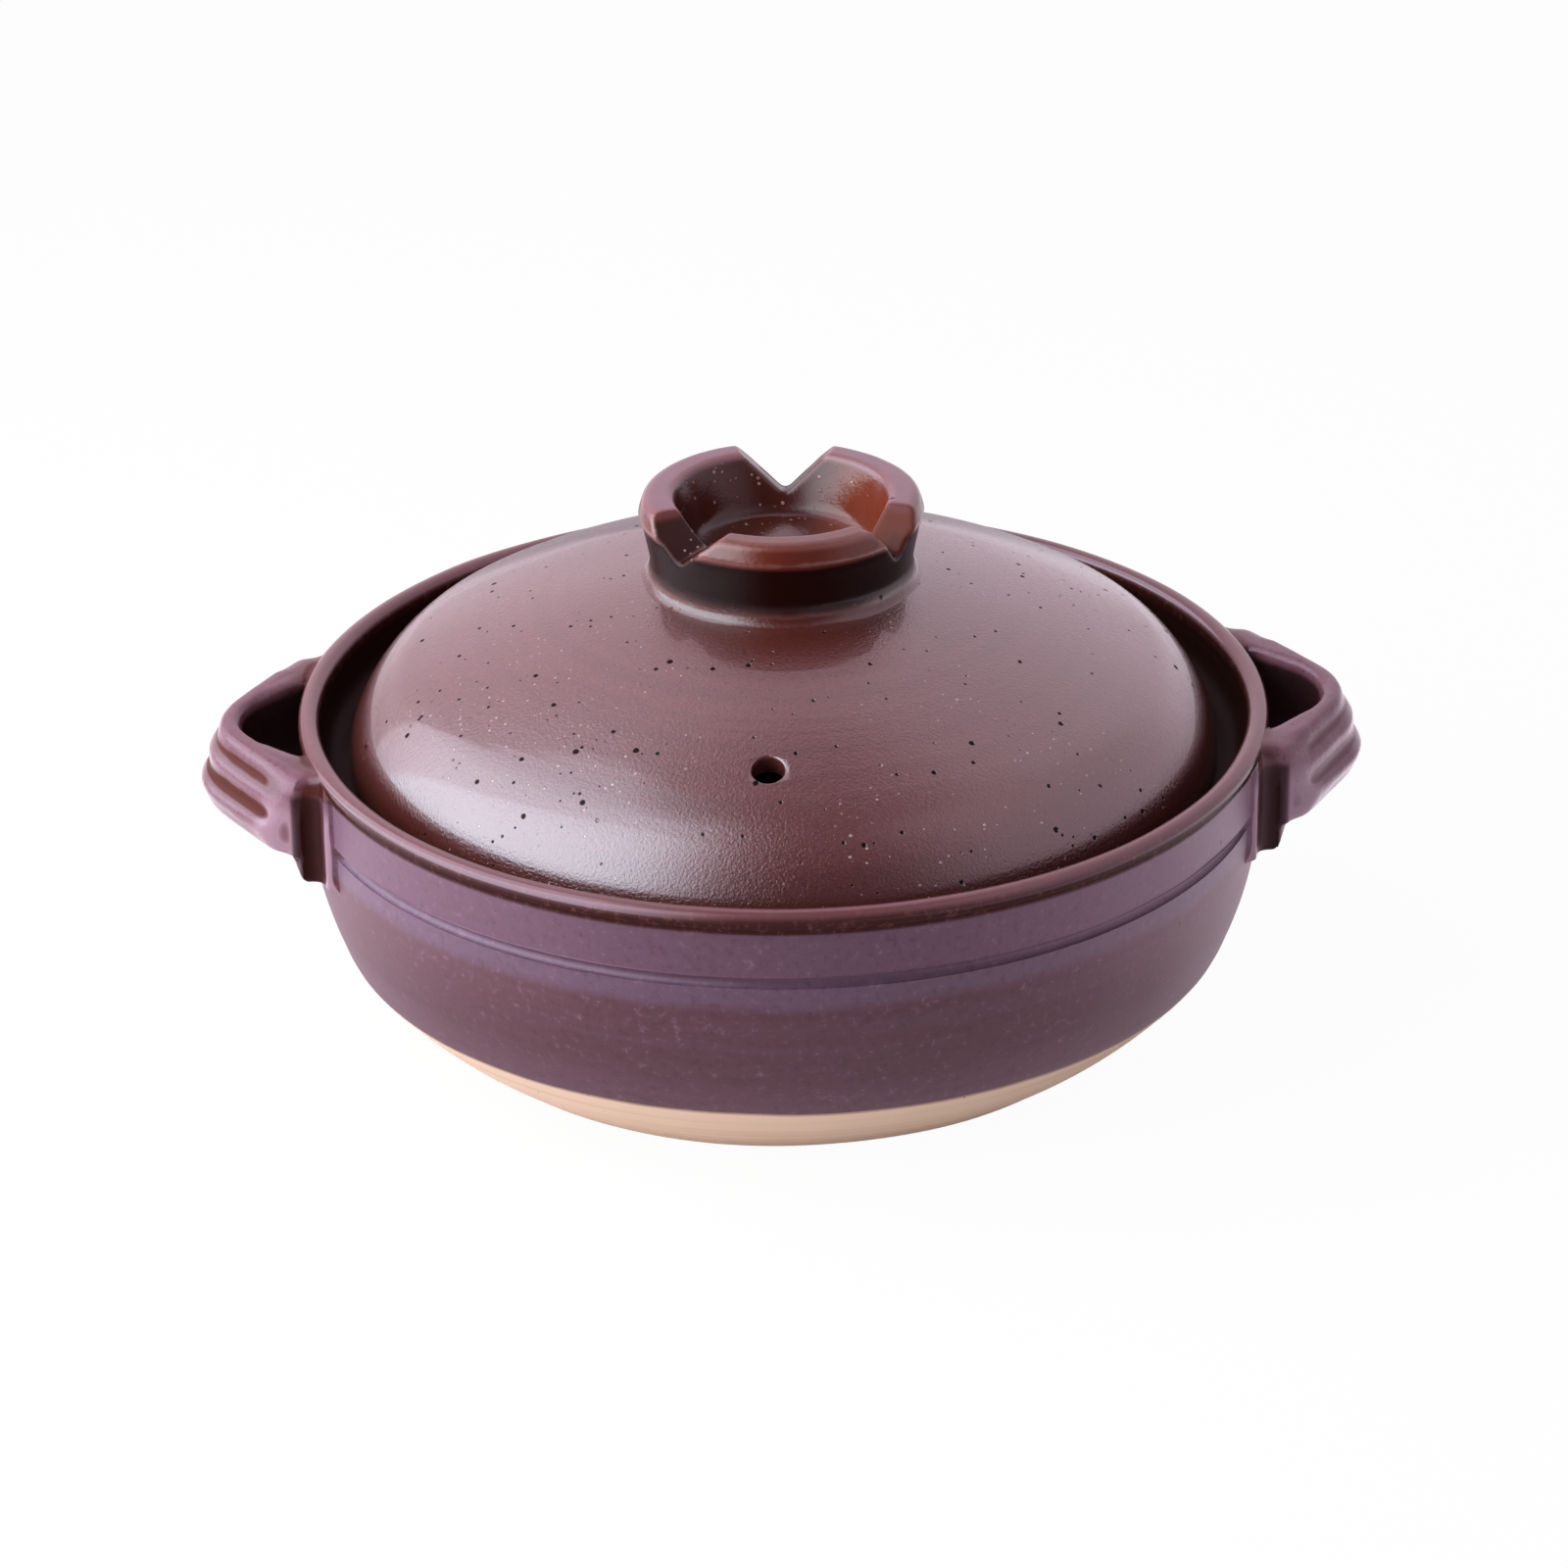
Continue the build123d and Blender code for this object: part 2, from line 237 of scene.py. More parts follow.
softbox("window", (-0.6, -0.085, 0.86), (0, -0.085, 0.86), width=1.27, height=1.48, glow=2.6)
softbox("window_core", (-0.59, -0.29, 0.63), (0, -0.29, 0.63), width=0.78, height=0.86, glow=2.0)
softbox("fill", (0.8, -0.2, 0.35), (0, -0.2, 0.35), width=0.9, height=0.6, glow=0.45)


# Pot. A bowl thrown in one piece from coarse stoneware: a rolled rim, a line turned below it, a
# ledge inside for the lid, and a foot left bare of glaze. It is glazed inside and out by dipping.
clay_line = 0.0252
band_foot = 0.0575
band_top = 0.0662
lip_foot = 0.0800
lip_turn = 0.0835
lip_crest = 0.0842
inner_lip = 0.0815
below_floor = 0.005
wall_reach, wall_flare = 0.1117, 0.19
flank_reach, flank_flare = 0.0885, 1.13
root_reach = 0.1185
root_half_width = 0.029
root_foot = 0.053
root_top = 0.0775
mauve = (1.0, 0.8, 0.93, 1)


def copy_of(node, name):
    """A copy of a CAD node's mesh with its loose triangles merged, in edit mode, all selected."""
    bpy.ops.object.select_all(action="DESELECT")
    piece = bpy.data.objects.new(name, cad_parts[node].data.copy())
    piece.data.materials.clear()
    bpy.context.scene.collection.objects.link(piece)
    piece.select_set(True)
    bpy.context.view_layer.objects.active = piece
    bpy.ops.object.mode_set(mode="EDIT")
    bpy.ops.mesh.select_all(action="SELECT")
    bpy.ops.mesh.remove_doubles(threshold=1e-6)
    return piece


def select_where(piece, kind, wanted):
    """Select the vertices, edges or faces of the piece in edit mode that a test holds for."""
    bpy.ops.mesh.select_all(action="DESELECT")
    bpy.ops.mesh.select_mode(type={"vertices": "VERT", "edges": "EDGE", "polygons": "FACE"}[kind])
    bpy.ops.object.mode_set(mode="OBJECT")
    for part in getattr(piece.data, kind):
        part.select = bool(wanted(part))
    bpy.ops.object.mode_set(mode="EDIT")


def apply_modifier(piece, kind, **settings):
    """Add a modifier with its settings and apply it."""
    modifier = piece.modifiers.new(kind.lower(), kind)
    for name, value in settings.items():
        setattr(modifier, name, value)
    bpy.ops.object.select_all(action="DESELECT")
    piece.select_set(True)
    bpy.context.view_layer.objects.active = piece
    bpy.ops.object.modifier_apply(modifier=modifier.name)


def surface_of(node):
    """The CAD node's surface, to ask for its nearest point or where a ray meets it."""
    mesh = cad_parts[node].data
    points = [vertex.co for vertex in mesh.vertices]
    return BVHTree.FromPolygons(points, [face.vertices for face in mesh.polygons])


def edge_length(piece, edge):
    start, end = (piece.data.vertices[v].co for v in edge.vertices)
    return (end - start).length


def straight_edges(piece):
    """The long edges of an outline that stand next to a much shorter one."""
    lengths = [edge_length(piece, edge) for edge in piece.data.edges]
    shortest = [1.0] * len(piece.data.vertices)
    for edge, length in zip(piece.data.edges, lengths):
        for v in edge.vertices:
            shortest[v] = min(shortest[v], length)
    return {
        edge.index
        for edge, length in zip(piece.data.edges, lengths)
        if length > 3 * min(shortest[v] for v in edge.vertices) and length > 0.0008
    }


def turned(node, name, steps, longest):
    """A turned CAD node made again: its outline is smoothed as a curve and spun round the axis."""
    piece = copy_of(node, name)
    bpy.ops.mesh.bisect(plane_co=(0, 0, 0), plane_no=(1, 0, 0), clear_inner=True, threshold=1e-7)
    bpy.ops.mesh.select_all(action="SELECT")
    bpy.ops.mesh.bisect(
        plane_co=(0, 0, 0), plane_no=(0, 1, 0), clear_inner=True, clear_outer=True, threshold=1e-7
    )
    select_where(piece, "vertices", lambda vertex: vertex.co.x < -1e-6 or abs(vertex.co.y) > 1e-5)
    bpy.ops.mesh.delete(type="VERT")
    bpy.ops.mesh.select_all(action="SELECT")
    bpy.ops.mesh.remove_doubles(threshold=2e-5)
    for _ in range(4):
        bpy.ops.object.mode_set(mode="OBJECT")
        long = straight_edges(piece)
        bpy.ops.object.mode_set(mode="EDIT")
        select_where(piece, "edges", lambda edge: edge.index in long)
        bpy.ops.mesh.subdivide(number_cuts=2)
    bpy.ops.object.mode_set(mode="OBJECT")
    bpy.ops.object.convert(target="CURVE")
    bpy.ops.object.mode_set(mode="EDIT")
    bpy.ops.curve.select_all(action="SELECT")
    bpy.ops.curve.spline_type_set(type="BEZIER")
    bpy.ops.curve.handle_type_set(type="AUTOMATIC")
    bpy.ops.object.mode_set(mode="OBJECT")
    piece = bpy.context.object
    piece.data.resolution_u = 2
    bpy.ops.object.convert(target="MESH")
    piece = bpy.context.object
    bpy.ops.object.mode_set(mode="EDIT")
    for _ in range(3):
        select_where(piece, "edges", lambda edge: edge_length(piece, edge) > longest)
        bpy.ops.mesh.subdivide(number_cuts=1)
    bpy.ops.mesh.select_mode(type="VERT")
    bpy.ops.mesh.select_all(action="SELECT")
    bpy.ops.mesh.spin(steps=steps, angle=2 * math.pi, center=(0, 0, 0), axis=(0, 0, 1))
    bpy.ops.mesh.select_all(action="SELECT")
    bpy.ops.mesh.remove_doubles(threshold=1e-6)
    bpy.ops.mesh.normals_make_consistent(inside=False)
    bpy.ops.object.mode_set(mode="OBJECT")
    bpy.ops.object.shade_smooth()
    return piece


def uneven(piece, name, size, depth):
    """Make the surface as uneven as a hand leaves it: it only ever sinks, by up to depth."""
    pattern = bpy.data.textures.new(name, "CLOUDS")
    pattern.noise_scale = size
    pattern.noise_depth = 1
    apply_modifier(piece, "DISPLACE", texture=pattern, strength=depth, mid_level=1.0)


pot = turned("pot_body", "pot", steps=176, longest=0.0022)
uneven(pot, "thrown_wall", size=0.045, depth=0.0005)
bpy.ops.object.mode_set(mode="EDIT")
select_where(pot, "vertices", lambda vertex: vertex.co.z < 0)
bpy.ops.transform.resize(value=(1, 1, 0), center_override=(0, 0, 0))
bpy.ops.object.mode_set(mode="OBJECT")


def tint(red, green, blue):
    """The linear colour of a screen colour given as 0 to 255."""
    shares = [value / 255 for value in (red, green, blue)]
    return [s / 12.92 if s <= 0.04045 else ((s + 0.055) / 1.055) ** 2.4 for s in shares] + [1]


def fired(name, **settings):
    """A new fired-clay material, its shader's fixed sockets set, and the piece's own coordinates."""
    material = bpy.data.materials.new(name)
    material.use_nodes = True
    tree = material.node_tree
    shader = tree.nodes["Principled BSDF"]
    for socket, value in settings.items():
        shader.inputs[socket.replace("_", " ")].default_value = value
    place = Wire(tree).add("TexCoord", output=3)
    return material, shader, place


def finish_material(shader, colour, roughness, height, dull=None, coat=None):
    """Link colour, roughness, bump in metres and coat, and take the gloss off where it is dull."""
    tree = colour.tree
    bump = height.add("Bump", {"Height": height, "Distance": 1.0, "Strength": 1.0})
    tree.links.new(colour.output, shader.inputs["Base Color"])
    tree.links.new(roughness.output, shader.inputs["Roughness"])
    tree.links.new(bump.output, shader.inputs["Normal"])
    if coat:
        tree.links.new(coat.output, shader.inputs["Coat Weight"])
    if dull:
        bare = {"Base Color": colour, "Roughness": 1.0, "Specular IOR Level": 0.0}
        matt = colour.add("BsdfPrincipled", bare)
        mixed = matt.add("MixShader", {0: dull, 1: Wire(tree, shader.outputs[0]), 2: matt})
        tree.links.new(mixed.output, tree.nodes["Material Output"].inputs[0])


def wall_glaze(place):
    """Colour, roughness and relief of the glaze on the wall and the rim, with painted shade under the
    rolled rim and behind the finger holes.
    """
    up = place.add("SeparateXYZ", {0: place}, output=2)
    drift = place.clouds(28, 3) - 0.5
    streaks = place.stretch(6, 6, 230).clouds(1, 3, 0.6)
    mottle = place.clouds(420, 3, 0.7)
    grit = place.clouds(1500, 2, 0.6)
    level = up + drift * 0.005
    band = level.rise(band_foot, band_foot + 0.004) * (1 - level.rise(band_top, band_top + 0.001))
    lip = (up + drift * 0.001).rise(lip_foot, lip_foot + 0.0012)
    both = place.add("VectorMath", {0: place}, operation="ABSOLUTE")
    away_x = both.add("SeparateXYZ", {0: both}, output=0)
    away_y = both.add("SeparateXYZ", {0: both}, output=1)
    # Painted shade: the wall behind each handle's finger hole is painted near black.
    finger_hole_shade = away_x.rise(root_reach, root_reach + 0.003)
    finger_hole_shade = finger_hole_shade * (1 - away_y.rise(root_half_width, root_half_width + 0.004))
    finger_hole_shade = finger_hole_shade * (1 - up.rise(root_top, root_top + 0.004)) * up.rise(root_foot, root_foot + 0.005)
    crest = up.rise(lip_crest, lip_crest + 0.002)
    glaze = place.add("RGB")
    glaze = glaze.paint(1.0, tint(78, 46, 54))
    glaze = glaze.paint(streaks.rise(0.35, 0.75) * 0.7, tint(86, 56, 68))
    thin_foot = 1 - level.rise(clay_line + 0.001, clay_line + 0.016)
    glaze = glaze.paint(thin_foot * 0.6, tint(96, 64, 78))
    glaze = glaze.paint(band, tint(90, 67, 86))
    glaze = glaze.paint(level.rise(band_top, band_top + 0.001), tint(90, 62, 80))
    glaze = glaze.paint(mottle.rise(0.55, 0.8) * 0.5, tint(134, 104, 122))
    glaze = glaze.paint((1 - mottle.rise(0.25, 0.5)) * 0.5, tint(54, 30, 36))
    # The rolled lip is painted dark red-brown: its glaze breaks brown there, and it is painted darker
    # still as shade under the roll.
    glaze = glaze.paint(lip, tint(56, 26, 22))
    glaze = glaze.paint(crest, tint(100, 62, 66))
    glaze = glaze.paint(lip * mottle.rise(0.5, 0.8) * 0.6, tint(122, 74, 72))
    # Painted shade behind the finger holes.
    glaze = glaze.paint(finger_hole_shade * 0.85, tint(30, 16, 15))
    sheen = 0.46 - lip * 0.3 + (mottle - 0.5) * 0.12
    relief = (grit * 0.00003 + mottle * 0.00004 + streaks * 0.00008) * (1 - lip * 0.7)
    return glaze, sheen, relief


material, shader, place = fired("pot_glaze", IOR=1.5, Specular_Tint=mauve)
glaze, sheen, relief = wall_glaze(place)
up = place.add("SeparateXYZ", {0: place}, output=2)
ring = place.stretch(1, 1, 0)
reach = ring.add("VectorMath", {0: ring}, output=1, operation="LENGTH")
drift = place.clouds(28, 3) - 0.5
mid_wall = (up * wall_flare + wall_reach).maths("MINIMUM", up * flank_flare + flank_reach)
inside = 1 - (reach - mid_wall).rise(-0.0005, 0.0005)
inside = inside * (1 - up.rise(inner_lip, inner_lip + 0.003)) * up.rise(below_floor, below_floor + 0.001)
dipped_to = up + drift * 0.0014
clay = (1 - dipped_to.rise(clay_line - 0.0004, clay_line + 0.0002)) * (1 - inside)
# The inside is painted very dark brown: an iron-brown inner glaze, painted darker as shade in the narrow
# gap round the lid.
glaze = glaze.paint(inside, tint(37, 19, 15))
grain = place.stretch(3, 3, 420).clouds(1, 2, 0.7)
bare = glaze.paint(1.0, tint(230, 200, 178))
bare = bare.paint(grain.rise(0.45, 0.8) * 0.6, tint(196, 154, 124))
bare = bare.paint(place.dots(0.004, 0.0005, 0.3), tint(130, 92, 68))
edge_shadow = clay * dipped_to.rise(clay_line - 0.0014, clay_line - 0.0003)
bare = bare.paint(edge_shadow * 0.6, tint(120, 80, 66))
colour = glaze.paint(clay, bare)
pits = place.dots(0.011, 0.0006, 0.25) * (1 - clay)
colour = colour.paint(pits * 0.85, tint(26, 14, 14))
relief = relief - pits * 0.0003 + clay * grain * 0.0002 - clay * 0.0003
outer_lip = up.rise(lip_foot, lip_foot + 0.0012) * (1 - up.rise(lip_turn, lip_turn + 0.0015))
dull = (inside * 0.85).maths("MAXIMUM", outer_lip * 0.8)
finish_material(shader, colour, sheen + clay * 0.4, relief, dull)
pot.data.materials.append(material)
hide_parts("pot_body")
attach(pot, "pot")


# Lid. A domed shell thrown upside down and turned true, its edge standing on the ledge. The
# steam vent was cut while the clay was soft and wiped round; the knob is luted on afterwards.
vent_turn = math.radians(-95.6)
vent_reach = 0.0875
vent_radius = 0.00415
vent_lip = 0.0014
cutter_length = 0.03
edge_top = 0.0745
fuller = 1.018
shoulder_reach = 0.024
knob_foot_reach = 0.038
thin_edge_reach = 0.1143

lid = turned("lid_dome", "lid", steps=200, longest=0.0016)
bpy.ops.object.mode_set(mode="EDIT")
select_where(lid, "vertices", lambda vertex: vertex.co.z < edge_top)
bpy.ops.transform.resize(
    value=(fuller, fuller, 1),
    center_override=(0, 0, 0),
    use_proportional_edit=True,
    proportional_edit_falloff="SMOOTH",
    proportional_size=shoulder_reach,
)
bpy.ops.object.mode_set(mode="OBJECT")
uneven(lid, "thrown_dome", size=0.05, depth=0.0006)

dome = surface_of("lid_dome")
vent_above = Vector((vent_reach * math.cos(vent_turn), vent_reach * math.sin(vent_turn), 0.2))
vent_spot, vent_normal, _, _ = dome.ray_cast(vent_above + Vector((0.006, 0, 0)), Vector((0, 0, -1)))
vent_spot = Vector((vent_above.x, vent_above.y, vent_spot.z))
vent_tilt = math.atan2(Vector(vent_normal[:2]).length, vent_normal.z)
bpy.ops.object.select_all(action="DESELECT")
bpy.ops.mesh.primitive_cylinder_add(vertices=64, radius=vent_radius, depth=cutter_length)
cutter = bpy.context.object
bpy.ops.object.mode_set(mode="EDIT")
select_where(cutter, "polygons", lambda face: face.center.z > cutter_length * 0.47)
bpy.ops.transform.translate(value=(0, 0, -cutter_length / 2 - vent_lip))
lip_step = math.radians(30)
for step in (1, 2, 3):
    turn_in = step * lip_step
    step_out = vent_lip * (math.cos(turn_in - lip_step) - math.cos(turn_in))
    step_up = vent_lip * (math.sin(turn_in) - math.sin(turn_in - lip_step))
    bpy.ops.mesh.extrude_region_move(TRANSFORM_OT_translate={"value": (0, 0, step_up)})
    select_where(cutter, "polygons", lambda face: face.normal.z > 0.9)
    tops = [face for face in cutter.data.polygons if face.normal.z > 0.9]
    width = max(cutter.data.vertices[v].co.xy.length for face in tops for v in face.vertices)
    wider = (width + step_out) / width
    bpy.ops.transform.resize(value=(wider, wider, 1))
bpy.ops.mesh.extrude_region_move(TRANSFORM_OT_translate={"value": (0, 0, 0.002)})
bpy.ops.object.mode_set(mode="OBJECT")
cutter.matrix_world = (
    Matrix.Translation(vent_spot)
    @ Matrix.Rotation(vent_turn, 4, "Z")
    @ Matrix.Rotation(vent_tilt, 4, "Y")
)
bpy.context.view_layer.update()
apply_modifier(lid, "BOOLEAN", object=cutter, operation="DIFFERENCE", solver="EXACT")
bpy.data.objects.remove(cutter)


def dome_pits(place):
    """Pinholes and finer pricks that gases left in the glaze."""
    pits = place.dots(0.0050, 0.0009, 0.4)
    pricks = place.dots(0.0030, 0.0005, 0.4) * place.clouds(22, 3, 0.55).rise(0.46, 0.56)
    return pits.maths("MAXIMUM", pricks)


def dome_glaze(place):
    """Colour, roughness and relief of the glossy glaze on the dome, with painted shade round the knob."""
    ring = place.stretch(1, 1, 0)
    reach = ring.add("VectorMath", {0: ring}, output=1, operation="LENGTH")
    toward_back = place.add("SeparateXYZ", {0: place}, output=1)
    patches = place.clouds(22, 3, 0.55)
    rings = {"W": reach + (patches - 0.5) * 0.004, "Scale": 120, "Detail": 3.0}
    throwing = place.add("TexNoise", rings, noise_dimensions="1D")
    mottle = place.clouds(520, 3, 0.7)
    peel = place.clouds(1200, 3, 0.65)
    glaze = place.add("RGB")
    glaze = glaze.paint(1.0, tint(90, 47, 47))
    glaze = glaze.paint(throwing.rise(0.4, 0.7) * 0.5, tint(76, 38, 37))
    glaze = glaze.paint(patches.rise(0.45, 0.75) * 0.5, tint(92, 54, 60))
    # The dome is painted darker red-brown round the knob's foot: partly a redder glaze, partly painted
    # shade where the dark knob is mirrored.
    near_knob = 1 - reach.rise(knob_foot_reach, knob_foot_reach + 0.026)
    glaze = glaze.paint(near_knob * 0.75, tint(78, 34, 27))
    thin_edge = reach.rise(thin_edge_reach, thin_edge_reach + 0.0022)
    glaze = glaze.paint(thin_edge * 0.8, tint(88, 40, 27))
    glaze = glaze.paint((1 - mottle.rise(0.3, 0.5)) * 0.4, tint(66, 34, 36))
    crowd = 0.35 + 0.65 * (0 - toward_back).rise(0.01, 0.07)
    specks = place.dots(0.0019, 0.00045, 0.35) * crowd * patches.rise(0.42, 0.56)
    glaze = glaze.paint(specks * 0.55, tint(206, 172, 166))
    pits = dome_pits(place)
    colour = glaze.paint(pits, tint(18, 9, 9))
    sheen = 0.13 + (mottle - 0.5) * 0.1 + (patches - 0.5) * 0.08
    relief = peel * 0.0002 + throwing * 0.00012 - pits * 0.0005 + specks * 0.00012
    return colour, sheen, relief


material, shader, place = fired(
    "lid_glaze", IOR=1.64, Coat_Roughness=0.06, Specular_Tint=(1, 0.93, 0.98, 1)
)
pits = dome_pits(place)
finish_material(shader, *dome_glaze(place), pits * 0.9, (1 - pits) * 0.5)
lid.data.materials.append(material)
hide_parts("lid_dome")
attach(lid, "lid")


# Handles. Each is a strap of clay pressed on under the rim at both ends, with three ribs drawn
# outside, a finger hole through it and a thumb mark down each foot. The join is worked smooth.
root_depth = 0.003
touching = 0.0002
patch_sink = 0.0001
patch_margin = 0.0075
patch_off_wall = 0.002
join_sink = 0.0005
run_over = 0.005
side_angle = math.radians(27)
side_slope = math.tan(side_angle)
side_reach = 0.122
side_half_width = 0.045
thumb_run = 0.0049
thumb_radius = 0.0045
thumb_x = side_reach + thumb_run * math.cos(side_angle)
thumb_y = side_half_width - thumb_run * math.sin(side_angle)
# Centre of the painted shade in each thumb mark.
thumb_shade_centre = (0.1272, 0.0400, 0)
ridge_reach = 0.1312
ridge_fade = 0.009
ridge_corner = (0.1322, 0.0390, 0.0835)
corner_radius = 0.011
ridge_side = 0.03
ridge_top = 0.074
hole_corner = 0.1555
hole_end = 0.1462
hole_half_width = 0.034
hole_top = 0.0835
tip_top = 0.063
foot_top = 0.059
foot_drop = 0.003


def keep(piece, name, values):
    """Keep one number on each vertex for the glaze."""
    piece.data.attributes.new(name, "FLOAT", "POINT").data.foreach_set("value", values)


def luted(piece, node, carrier_node, carrier, voxel, wipe, join_reach, join_work):
    """Root a copy of a pressed-on node in a patch of its carrier and work the two smooth."""
    wall = surface_of(carrier_node)
    solid = surface_of(node)

    def meets_wall(face):
        spot, normal, _, gap = wall.find_nearest(face.center)
        return gap < touching and normal.dot(face.normal) < -0.7

    name = piece.name
    select_where(piece, "polygons", meets_wall)
    bpy.ops.mesh.extrude_region_shrink_fatten(TRANSFORM_OT_shrink_fatten={"value": root_depth})
    bpy.ops.object.mode_set(mode="OBJECT")

    bpy.ops.object.select_all(action="DESELECT")
    patch = bpy.data.objects.new(name + "_patch", carrier.data.copy())
    patch.data.materials.clear()
    bpy.context.scene.collection.objects.link(patch)
    patch.select_set(True)
    bpy.context.view_layer.objects.active = patch
    bpy.ops.object.mode_set(mode="EDIT")

    def away(face):
        spot, _, _, gap = solid.find_nearest(face.center)
        _, normal, _, off = wall.find_nearest(face.center)
        return gap > patch_margin or normal.dot(face.normal) < 0.5 or off > patch_off_wall

    select_where(patch, "polygons", away)
    bpy.ops.mesh.delete(type="FACE")
    bpy.ops.object.mode_set(mode="OBJECT")
    apply_modifier(patch, "DISPLACE", strength=-patch_sink, mid_level=0)
    apply_modifier(patch, "SOLIDIFY", thickness=root_depth, offset=-1)

    bpy.ops.object.select_all(action="DESELECT")
    patch.select_set(True)
    piece.select_set(True)
    bpy.context.view_layer.objects.active = piece
    bpy.ops.object.join()
    apply_modifier(piece, "REMESH", mode="VOXEL", voxel_size=voxel)
    apply_modifier(piece, "SMOOTH", factor=0.5, iterations=wipe)
    join = piece.vertex_groups.new(name="join")
    under = piece.vertex_groups.new(name="under")
    for vertex in piece.data.vertices:
        near = max(wall.find_nearest(vertex.co)[3], solid.find_nearest(vertex.co)[3])
        if near < join_reach:
            join.add([vertex.index], 1 - near / join_reach, "REPLACE")
        beyond = (solid.find_nearest(vertex.co)[3] - 0.8 * join_reach) / 0.001
        under.add([vertex.index], min(1, max(0, beyond)), "REPLACE")
    apply_modifier(piece, "SMOOTH", factor=0.6, iterations=join_work, vertex_group="join")
    apply_modifier(piece, "DISPLACE", strength=-join_sink, mid_level=0, vertex_group="under")
    bpy.ops.object.shade_smooth()
    off_piece = [solid.find_nearest(vertex.co)[3] for vertex in piece.data.vertices]
    off_wall = [wall.find_nearest(vertex.co)[3] for vertex in piece.data.vertices]
    offs = zip(off_piece, off_wall)
    shares = [max((off - 0.0003) / 0.0018, 0.9 - near / run_over) for off, near in offs]
    keep(piece, "carrier", [min(1, max(0, share)) for share in shares])
    return piece


def mark_edges(piece, rounds, depth):
    """Keep on each vertex how far it stands out of its surroundings, from 0 in a hollow to 1."""
    mesh = piece.data
    points = np.zeros(len(mesh.vertices) * 3)
    mesh.vertices.foreach_get("co", points)
    points = points.reshape(-1, 3)
    normals = np.zeros(len(mesh.vertices) * 3)
    mesh.vertices.foreach_get("normal", normals)
    normals = normals.reshape(-1, 3)
    pairs = np.zeros(len(mesh.edges) * 2, int)
    mesh.edges.foreach_get("vertices", pairs)
    one, other = pairs.reshape(-1, 2).T
    count = np.bincount(one, minlength=len(points)) + np.bincount(other, minlength=len(points))
    smooth = points.copy()
    for _ in range(rounds):
        total = np.zeros_like(smooth)
        np.add.at(total, one, smooth[other])
        np.add.at(total, other, smooth[one])
        smooth = 0.5 * smooth + 0.5 * total / np.maximum(count, 1)[:, None]
    stand = ((points - smooth) * normals).sum(1)
    keep(piece, "edge", np.clip(0.5 + stand / (2 * depth), 0, 1).astype(np.float32))


def worn_in(place, own, around):
    """A pressed-on piece's own glaze, running over into that of the piece it sits on."""
    carrier = place.add("Attribute", output=2, attribute_name="carrier")
    colour, sheen, relief = own
    return (
        colour.paint(carrier, around[0]),
        sheen + (around[1] - sheen) * carrier,
        relief + (around[2] - relief) * carrier,
    )


def in_hole(vertex):
    """Whether the vertex lies in the finger hole, whose sides run inward at 45 degrees."""
    x, y = abs(vertex.co.x), abs(vertex.co.y)
    return x + y < hole_corner and x < hole_end and y < hole_half_width


def work_sides(piece):
    """Press the thumb marks deeper and wipe the ribs' ends into the ridges beside them."""
    ends, tip, corner, thumb, band = (
        piece.vertex_groups.new(name=name) for name in ("ends", "tip", "corner", "thumb", "band")
    )
    strap_top = max(vertex.co.z for vertex in piece.data.vertices if abs(vertex.co.x) > 0.14)
    band_low = strap_top - 0.0045
    for vertex in piece.data.vertices:
        x, y = abs(vertex.co.x), abs(vertex.co.y)
        off_side = abs(side_half_width - (x - side_reach) * side_slope - y)
        if x > ridge_reach and off_side < ridge_fade:
            share = (1 - off_side / ridge_fade) * min(1, (x - ridge_reach) / 0.002)
            ends.add([vertex.index], share, "REPLACE")
        off_corner = math.dist((x, y, vertex.co.z), ridge_corner)
        if off_corner < corner_radius:
            corner.add([vertex.index], min(1, (corner_radius - off_corner) / 0.005), "REPLACE")
        if vertex.co.z > band_low and x > 0.128:
            band.add([vertex.index], min(1, (vertex.co.z - band_low) / 0.002), "REPLACE")
        if vertex.co.z < tip_top and x > 0.124:
            tip.add([vertex.index], min(1, (tip_top - vertex.co.z) / 0.003), "REPLACE")
        off_thumb = math.hypot(x - thumb_x, y - thumb_y)
        if off_thumb < thumb_radius:
            thumb.add([vertex.index], 1 - off_thumb / thumb_radius, "REPLACE")
    apply_modifier(piece, "SMOOTH", factor=0.6, iterations=60, vertex_group="ends")
    apply_modifier(piece, "SMOOTH", factor=0.6, iterations=18, vertex_group="tip")
    apply_modifier(piece, "SMOOTH", factor=0.8, iterations=70, vertex_group="band", use_z=False)
    apply_modifier(piece, "SMOOTH", factor=0.8, iterations=90, vertex_group="corner")
    apply_modifier(piece, "DISPLACE", strength=-0.0018, mid_level=0, vertex_group="thumb")


